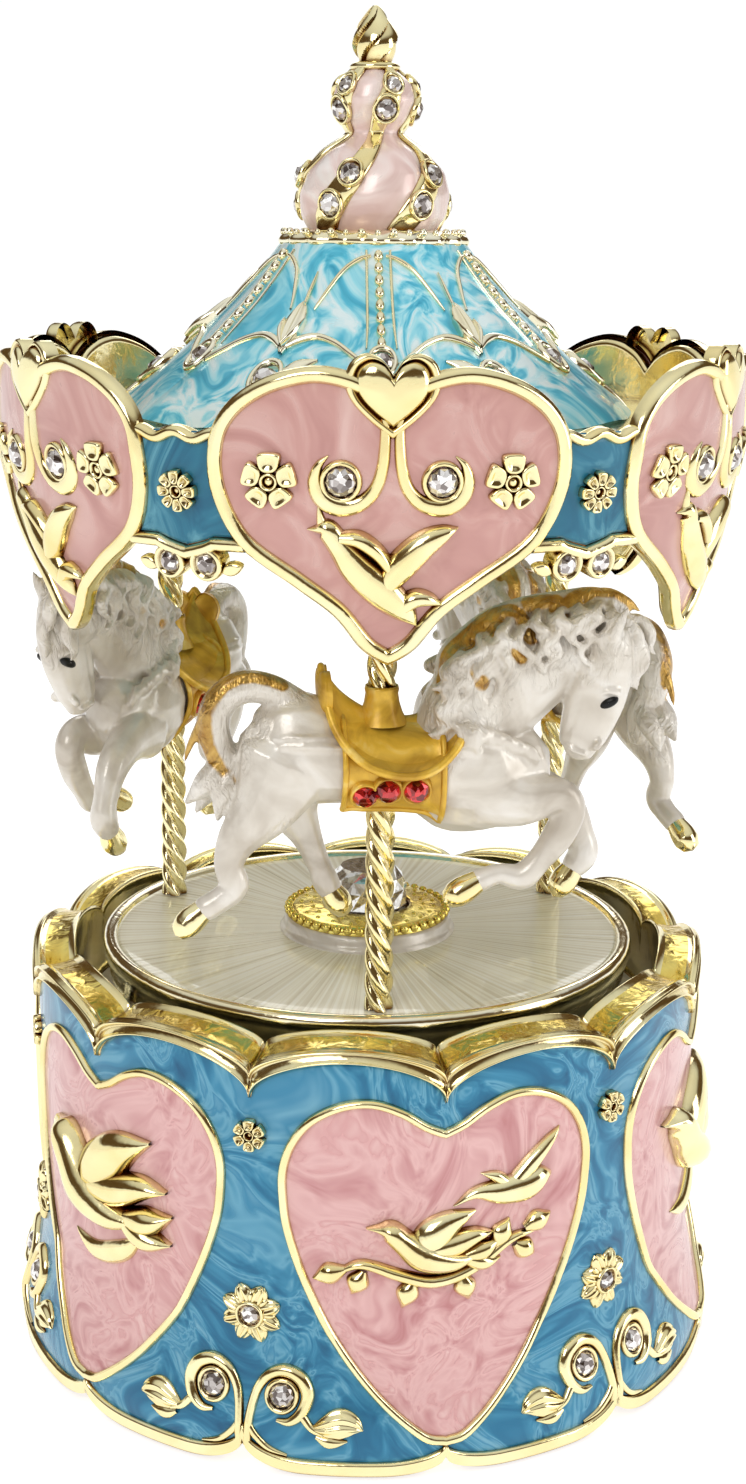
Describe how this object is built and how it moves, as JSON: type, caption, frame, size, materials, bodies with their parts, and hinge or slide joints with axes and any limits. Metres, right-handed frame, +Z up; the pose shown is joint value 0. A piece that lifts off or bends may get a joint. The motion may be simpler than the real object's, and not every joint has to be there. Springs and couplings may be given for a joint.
{
  "type": "carousel music box",
  "caption": "Wind-up enamelled carousel music box: scalloped tub base with a movement, turntable, three horses on twisted poles, heart canopy and finial.",
  "frame": {"origin": "on the turning axis, in the plane that the foot lobes stand on", "axes": "+Z up along the turning axis; -Y through the middle of one base heart; the carousel rests turned 9.5 degrees back from it"},
  "size_m": [0.0898, 0.0898, 0.165],
  "materials": {
    "gold_plate": "polished pale gold plating over die-cast zinc",
    "old_gold": "dull ochre-gold lacquer, satin",
    "blue_enamel": "marbled pearl-blue enamel, glossy, in gold borders",
    "sky_enamel": "light-blue pearl enamel, glossy",
    "pink_enamel": "pearl-pink enamel, glossy, in gold borders",
    "cream_enamel": "translucent cream enamel over radial engine-turned lines",
    "pearl_enamel": "pearl-white lacquer, soft gloss",
    "crystal": "clear faceted crystal",
    "zinc": "bare die-cast zinc, satin",
    "brass": "turned brass, satin",
    "steel": "bright steel",
    "blued_steel": "blued spring steel"
  },
  "bodies": {
    "base": {"base_tub": "blue_enamel", "bottom_cover": "zinc", "deck_plate": "zinc", "deck_bush": "brass", "movement_bedplate": "zinc", "comb": "steel", "cylinder_bracket_inner": "zinc", "cylinder_bracket_outer": "zinc", "governor_frame": "brass", "cover_screw_1": "steel", "cover_screw_2": "steel", "cover_screw_3": "steel", "deck_screw_1": "steel", "deck_screw_2": "steel", "deck_screw_3": "steel", "bedplate_screw_1": "steel", "bedplate_screw_2": "steel", "bedplate_screw_3": "steel", "comb_screw_1": "blued_steel", "comb_screw_2": "blued_steel"},
    "carousel": {"spring_barrel": "brass", "mainspring": "blued_steel", "output_shaft": "steel", "turntable": "cream_enamel", "hub_plinth": "pearl_enamel", "hub_ring": "gold_plate", "hub_crystal": "crystal", "canopy_crown": "gold_plate", "roof_cone": "sky_enamel", "finial_body": "pink_enamel", "finial_bud": "gold_plate", "finial_stud": "steel", "finial_nut": "steel", "pole_1": "gold_plate", "pole_nut_1": "steel", "horse_1": "pearl_enamel", "saddle_1": "old_gold", "canopy_screw_1": "steel", "pole_2": "gold_plate", "pole_nut_2": "steel", "horse_2": "pearl_enamel", "saddle_2": "old_gold", "canopy_screw_2": "steel", "pole_3": "gold_plate", "pole_nut_3": "steel", "horse_3": "pearl_enamel", "saddle_3": "old_gold", "canopy_screw_3": "steel"},
    "key": {"winding_key": "brass", "winding_arbor": "steel"},
    "cylinder": {"pin_cylinder": "brass", "cylinder_arbor": "steel"},
    "idler": {"idler_arbor": "brass"},
    "governor": {"worm_shaft": "steel", "air_vane": "brass"}
  },
  "joints": [
    {"name": "carousel_spin", "type": "hinge", "parent": "base", "child": "carousel", "pos_m": [0, 0, 0.045], "axis": [0, 0, 1], "continuous": true},
    {"name": "key_wind", "type": "hinge", "parent": "base", "child": "key", "pos_m": [0, 0, 0.006], "axis": [0, 0, 1], "continuous": true},
    {"name": "cylinder_spin", "type": "hinge", "parent": "base", "child": "cylinder", "pos_m": [0.0245, 0, 0.027], "axis": [1, 0, 0], "continuous": true},
    {"name": "idler_spin", "type": "hinge", "parent": "base", "child": "idler", "pos_m": [-0.0168, 0, 0.0174], "axis": [0, 0, 1], "continuous": true},
    {"name": "governor_spin", "type": "hinge", "parent": "base", "child": "governor", "pos_m": [-0.0238, 0, 0.0174], "axis": [0, 1, 0], "continuous": true}
  ],
  "couplings": [
    {"joint": "cylinder_spin", "follows": "carousel_spin", "ratio": 3},
    {"joint": "idler_spin", "follows": "carousel_spin", "ratio": -6},
    {"joint": "governor_spin", "follows": "carousel_spin", "ratio": -120}
  ]
}
